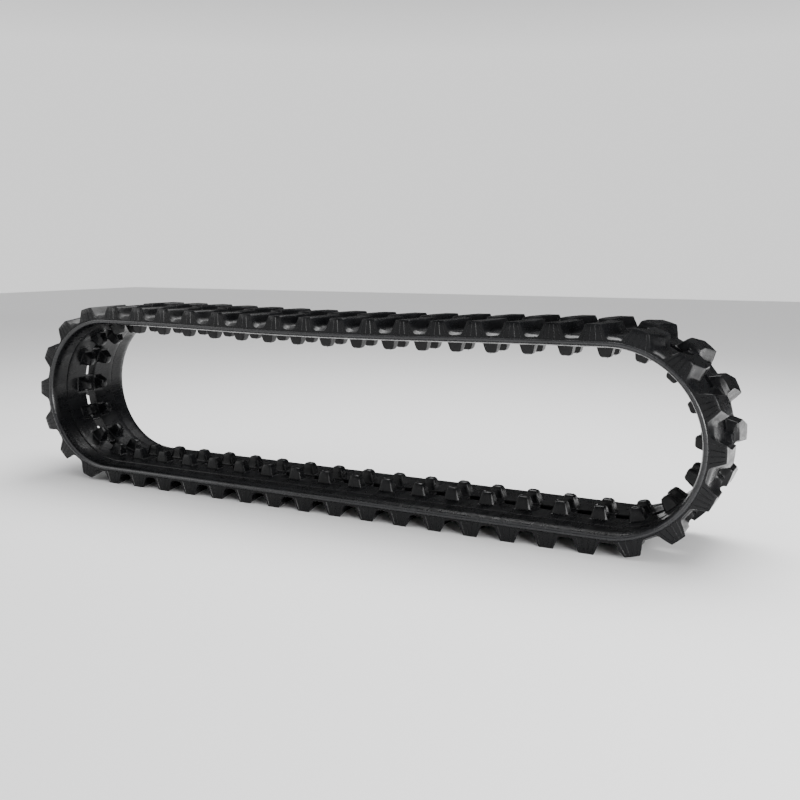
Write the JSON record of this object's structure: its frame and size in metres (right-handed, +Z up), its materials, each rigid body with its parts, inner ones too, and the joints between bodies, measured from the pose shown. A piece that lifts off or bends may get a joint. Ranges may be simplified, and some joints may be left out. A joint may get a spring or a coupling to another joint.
{
  "type": "rubber track",
  "caption": "Endless rubber track with staggered ground lugs, two rows of guide lugs, sprocket windows, embedded steel cores and steel cord belts.",
  "frame": {"origin": "on the ground, centred under the track", "axes": "+X along the track towards its front end, +Y across it, +Z up"},
  "size_m": [1.5288, 0.23, 0.3959],
  "materials": {
    "rubber": "moulded black rubber, satin",
    "core_steel": "forged steel, dull",
    "cord_steel": "brass-coated wire rope"
  },
  "bodies": {
    "bottom_run": {"bottom_run_rubber": "rubber", "bottom_run_cord_belt_right": "cord_steel", "bottom_run_cord_belt_left": "cord_steel", "core_01": "core_steel", "core_02": "core_steel", "core_03": "core_steel", "core_04": "core_steel", "core_05": "core_steel", "core_06": "core_steel", "core_07": "core_steel", "core_08": "core_steel", "core_09": "core_steel", "core_10": "core_steel", "core_11": "core_steel", "core_12": "core_steel", "core_13": "core_steel", "core_14": "core_steel", "core_15": "core_steel", "core_16": "core_steel"},
    "front_end": {"front_end_rubber": "rubber", "front_end_cord_belt_right": "cord_steel", "front_end_cord_belt_left": "cord_steel", "core_17": "core_steel", "core_18": "core_steel", "core_19": "core_steel", "core_20": "core_steel", "core_21": "core_steel", "core_22": "core_steel", "core_23": "core_steel"},
    "top_run": {"top_run_rubber": "rubber", "top_run_cord_belt_right": "cord_steel", "top_run_cord_belt_left": "cord_steel", "core_24": "core_steel", "core_25": "core_steel", "core_26": "core_steel", "core_27": "core_steel", "core_28": "core_steel", "core_29": "core_steel", "core_30": "core_steel", "core_31": "core_steel", "core_32": "core_steel", "core_33": "core_steel", "core_34": "core_steel", "core_35": "core_steel", "core_36": "core_steel", "core_37": "core_steel", "core_38": "core_steel", "core_39": "core_steel"},
    "rear_end": {"rear_end_rubber": "rubber", "rear_end_cord_belt_right": "cord_steel", "rear_end_cord_belt_left": "cord_steel", "core_40": "core_steel", "core_41": "core_steel", "core_42": "core_steel", "core_43": "core_steel", "core_44": "core_steel", "core_45": "core_steel", "core_46": "core_steel"}
  },
  "joints": [
    {"name": "rear_lower_bend", "type": "hinge", "parent": "bottom_run", "child": "rear_end", "pos_m": [-0.57899, 0, 0.03148], "axis": [0, 1, 0], "range_deg": [-12, 12], "stiffness_Nm_per_rad": 600},
    {"name": "rear_upper_bend", "type": "hinge", "parent": "rear_end", "child": "top_run", "pos_m": [-0.573, 0, 0.36395], "axis": [0, 1, 0], "range_deg": [-12, 12], "stiffness_Nm_per_rad": 2500},
    {"name": "front_upper_bend", "type": "hinge", "parent": "top_run", "child": "front_end", "pos_m": [0.57899, 0, 0.3636], "axis": [0, 1, 0], "range_deg": [-12, 12], "stiffness_Nm_per_rad": 1200}
  ],
  "couplings": [
    {"joint": "rear_upper_bend", "follows": "rear_lower_bend", "ratio": -1},
    {"joint": "front_upper_bend", "follows": "rear_lower_bend", "ratio": 1}
  ]
}
